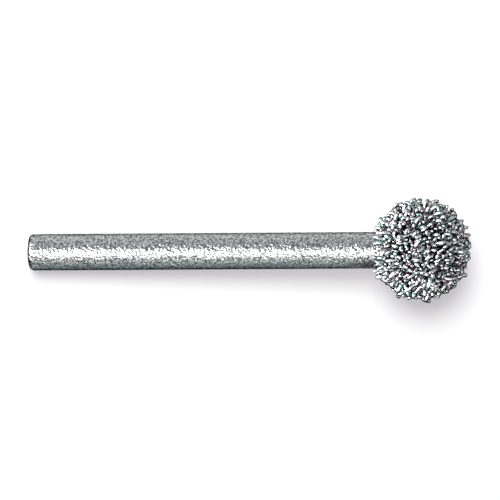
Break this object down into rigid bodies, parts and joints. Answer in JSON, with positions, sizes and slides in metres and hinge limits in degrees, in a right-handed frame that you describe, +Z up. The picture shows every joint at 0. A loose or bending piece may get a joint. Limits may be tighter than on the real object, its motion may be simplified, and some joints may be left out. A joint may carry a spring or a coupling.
{
  "type": "carbide burr",
  "caption": "Rotary burr: a plain round steel shank with a crowned tail, and a tungsten carbide ball covered in fine upright teeth, for grinding and shaping.",
  "frame": {"origin": "middle of the bounding box's underside, on the surface the burr lies on", "axes": "+X towards the ball head, +Z up; the burr lies on its tail and its teeth, so its own axis rises about 4.8 degrees towards +X"},
  "size_m": [0.0386, 0.009, 0.0088],
  "materials": {
    "shank_steel": "plain steel with a fine pebbled, blasted skin",
    "carbide": "sintered tungsten carbide, rough grey metal with bright facets on the teeth"
  },
  "bodies": {
    "root": {"steel_shank": "shank_steel", "carbide_head": "carbide"}
  },
  "joints": []
}
